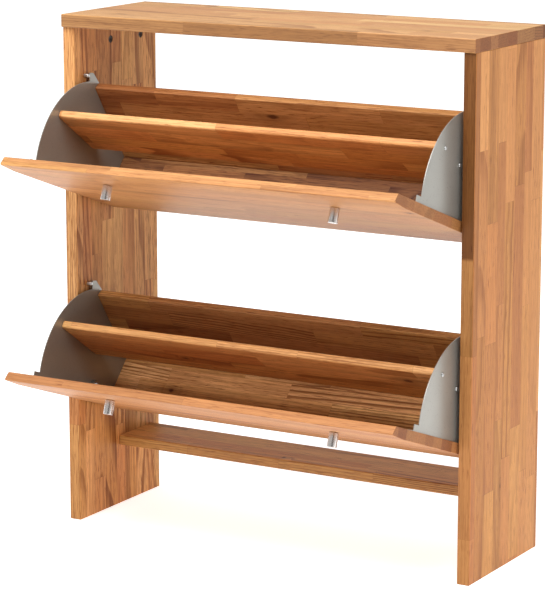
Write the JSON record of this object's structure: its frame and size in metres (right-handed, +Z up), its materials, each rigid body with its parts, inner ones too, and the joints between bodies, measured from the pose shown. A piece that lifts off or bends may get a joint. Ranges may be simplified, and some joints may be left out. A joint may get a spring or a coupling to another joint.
{
  "type": "shoe cabinet",
  "caption": "Free-standing open-backed shoe cabinet of laminated solid wood, with tilt-out compartments hung on pivots between two side panels, shown open.",
  "frame": {"origin": "on the floor, under the middle of the box of the whole cabinet with its compartments open", "axes": "+X to the right seen from the front, +Y to the back, +Z up"},
  "size_m": [0.878, 0.5408, 1],
  "materials": {
    "oiled_solid_wood": "oiled, satin, finger-jointed staves",
    "dowel_wood": "raw beech, fluted",
    "painted_steel": "satin powder coat, warm grey",
    "bright_steel": "zinc plated",
    "brushed_aluminium": "finely brushed",
    "cast_zinc": "dark die-cast",
    "black_plastic": "moulded nylon"
  },
  "bodies": {
    "carcass": {"top_panel": "oiled_solid_wood", "left_side_panel": "oiled_solid_wood", "right_side_panel": "oiled_solid_wood", "bottom_rail": "oiled_solid_wood", "rail_dowel_left_front": "dowel_wood", "rail_dowel_left_rear": "dowel_wood", "rail_dowel_right_front": "dowel_wood", "rail_dowel_right_rear": "dowel_wood", "cam_lock_left_front": "cast_zinc", "cam_bolt_left_front": "bright_steel", "cam_lock_left_rear": "cast_zinc", "cam_bolt_left_rear": "bright_steel", "cam_lock_right_front": "cast_zinc", "cam_bolt_right_front": "bright_steel", "cam_lock_right_rear": "cast_zinc", "cam_bolt_right_rear": "bright_steel", "upper_pivot_pin_left": "bright_steel", "upper_pivot_nut_left": "bright_steel", "upper_stop_pin_left": "bright_steel", "upper_pivot_pin_right": "bright_steel", "upper_pivot_nut_right": "bright_steel", "upper_stop_pin_right": "bright_steel", "lower_pivot_pin_left": "bright_steel", "lower_pivot_nut_left": "bright_steel", "lower_stop_pin_left": "bright_steel", "lower_pivot_pin_right": "bright_steel", "lower_pivot_nut_right": "bright_steel", "lower_stop_pin_right": "bright_steel"},
    "upper_flap": {"upper_front_panel": "oiled_solid_wood", "upper_divider": "oiled_solid_wood", "upper_rear_board": "oiled_solid_wood", "upper_floor_board": "oiled_solid_wood", "upper_side_plate_left": "painted_steel", "upper_pivot_bush_left": "black_plastic", "upper_divider_screw_left_low": "bright_steel", "upper_divider_screw_left_high": "bright_steel", "upper_knob_left": "brushed_aluminium", "upper_knob_screw_left": "bright_steel", "upper_side_plate_right": "painted_steel", "upper_pivot_bush_right": "black_plastic", "upper_divider_screw_right_low": "bright_steel", "upper_divider_screw_right_high": "bright_steel", "upper_knob_right": "brushed_aluminium", "upper_knob_screw_right": "bright_steel"},
    "lower_flap": {"lower_front_panel": "oiled_solid_wood", "lower_divider": "oiled_solid_wood", "lower_rear_board": "oiled_solid_wood", "lower_floor_board": "oiled_solid_wood", "lower_side_plate_left": "painted_steel", "lower_pivot_bush_left": "black_plastic", "lower_divider_screw_left_low": "bright_steel", "lower_divider_screw_left_high": "bright_steel", "lower_knob_left": "brushed_aluminium", "lower_knob_screw_left": "bright_steel", "lower_side_plate_right": "painted_steel", "lower_pivot_bush_right": "black_plastic", "lower_divider_screw_right_low": "bright_steel", "lower_divider_screw_right_high": "bright_steel", "lower_knob_right": "brushed_aluminium", "lower_knob_screw_right": "bright_steel"}
  },
  "joints": [
    {"name": "upper_flap_tilt", "type": "hinge", "parent": "carcass", "child": "upper_flap", "pos_m": [0, 0.01535, 0.6795], "axis": [-1, 0, 0], "range_deg": [0, 70.7]},
    {"name": "lower_flap_tilt", "type": "hinge", "parent": "carcass", "child": "lower_flap", "pos_m": [0, 0.01535, 0.2715], "axis": [-1, 0, 0], "range_deg": [0, 70.7]}
  ]
}
